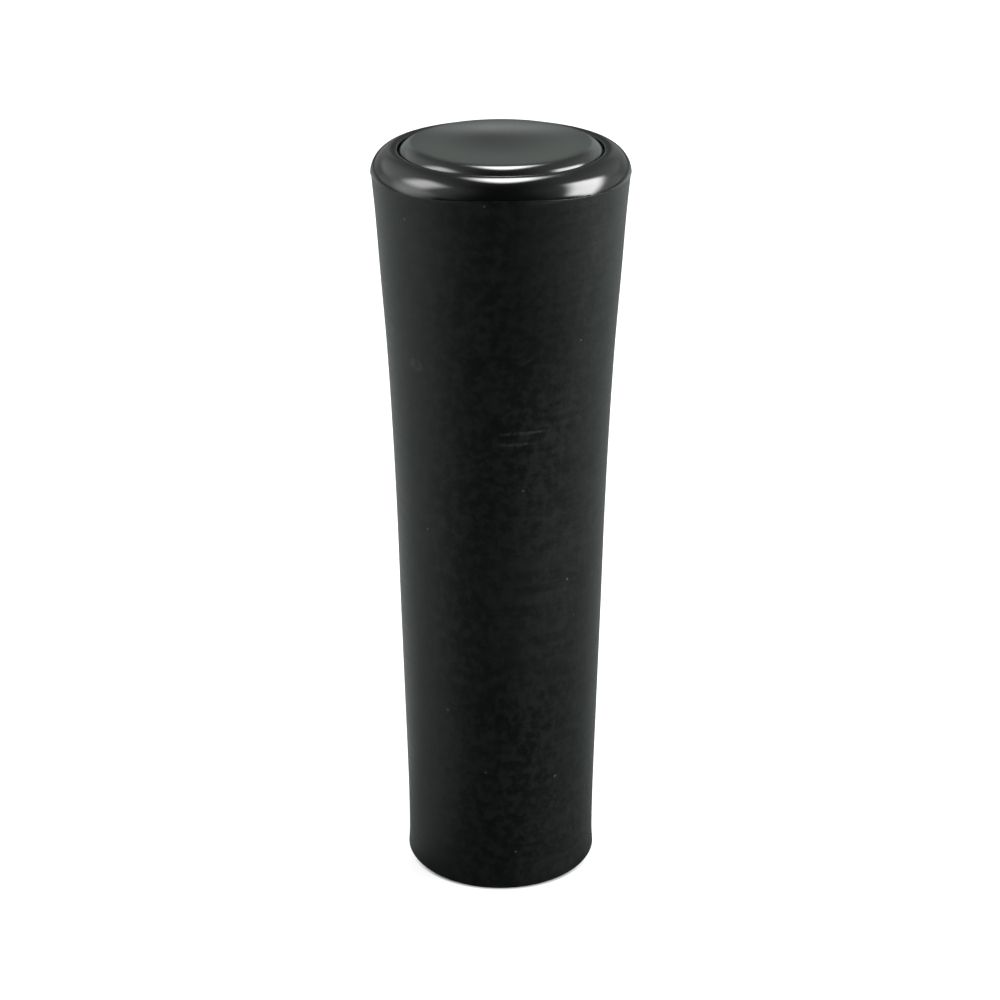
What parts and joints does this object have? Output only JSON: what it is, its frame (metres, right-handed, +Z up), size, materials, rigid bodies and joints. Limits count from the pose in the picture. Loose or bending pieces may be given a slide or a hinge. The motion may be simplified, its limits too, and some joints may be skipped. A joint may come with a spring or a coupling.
{
  "type": "tapered tool handle",
  "caption": "Tapered black hand-tool handle: soft matte sleeve on a ribbed core, glossy bull-nosed end cap with an inset domed disc, threaded brass insert in the narrow foot.",
  "frame": {"origin": "centre of the flat foot at the narrow end, on the surface that the handle stands on", "axes": "+Z up the handle's axis to the capped end; +Y away from the viewer"},
  "size_m": [0.038, 0.038, 0.1175],
  "materials": {
    "grip_rubber": "matte, faintly dusty",
    "cap_gloss": "polished",
    "disc_satin": "satin",
    "core_plastic": "moulded, fine texture",
    "brass": "turned and knurled",
    "screw_steel": "zinc plated",
    "o_ring_rubber": "smooth rubber"
  },
  "bodies": {
    "handle": {"grip_sleeve": "grip_rubber", "handle_core": "core_plastic", "stem_insert": "brass", "cap_screw_insert": "brass"},
    "cap": {"end_cap": "cap_gloss", "cap_washer": "screw_steel", "cap_screw": "screw_steel"},
    "disc": {"cap_disc": "disc_satin", "disc_o_ring": "o_ring_rubber"}
  },
  "joints": [
    {"name": "cap_lift", "type": "slide", "parent": "handle", "child": "cap", "axis": [0, 0, 1], "range_m": [0, 0.03]},
    {"name": "disc_lift", "type": "slide", "parent": "cap", "child": "disc", "axis": [0, 0, 1], "range_m": [0, 0.01]}
  ]
}
